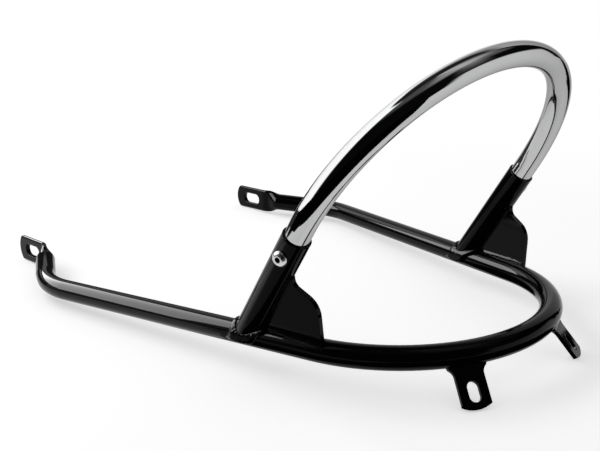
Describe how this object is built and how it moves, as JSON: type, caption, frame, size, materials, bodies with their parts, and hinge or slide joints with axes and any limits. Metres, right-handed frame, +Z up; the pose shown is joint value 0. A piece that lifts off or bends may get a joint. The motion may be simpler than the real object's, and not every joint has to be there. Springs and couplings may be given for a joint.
{
  "type": "motorcycle grab rail",
  "caption": "Bent tube grab rail with slotted tabs, leaning sockets and gussets that hold a plated hand hoop behind the seat of a motorcycle.",
  "frame": {"origin": "middle of the bounding box at the level of the rear tabs' lowest corners", "axes": "+X to the rear of the motorcycle, +Y to its right, +Z up and square to the plane of the bent rail"},
  "size_m": [0.5146, 0.3702, 0.2465],
  "materials": {
    "black_paint": "gloss",
    "chrome_plate": "polished",
    "zinc_fastener": "bright zinc"
  },
  "bodies": {
    "root": {"gusset_left": "black_paint", "gusset_right": "black_paint", "gusset_weld_inner_left": "black_paint", "gusset_weld_inner_right": "black_paint", "gusset_weld_outer_left": "black_paint", "gusset_weld_outer_right": "black_paint", "hoop": "chrome_plate", "hoop_nut_left": "zinc_fastener", "hoop_nut_right": "zinc_fastener", "main_rail": "black_paint", "rear_tab_left": "black_paint", "rear_tab_right": "black_paint", "rear_tab_weld_inner_left": "black_paint", "rear_tab_weld_inner_right": "black_paint", "rear_tab_weld_outer_left": "black_paint", "rear_tab_weld_outer_right": "black_paint", "screw_left": "zinc_fastener", "screw_right": "zinc_fastener", "socket_left": "black_paint", "socket_right": "black_paint", "socket_weld_left": "black_paint", "socket_weld_right": "black_paint"}
  },
  "joints": []
}
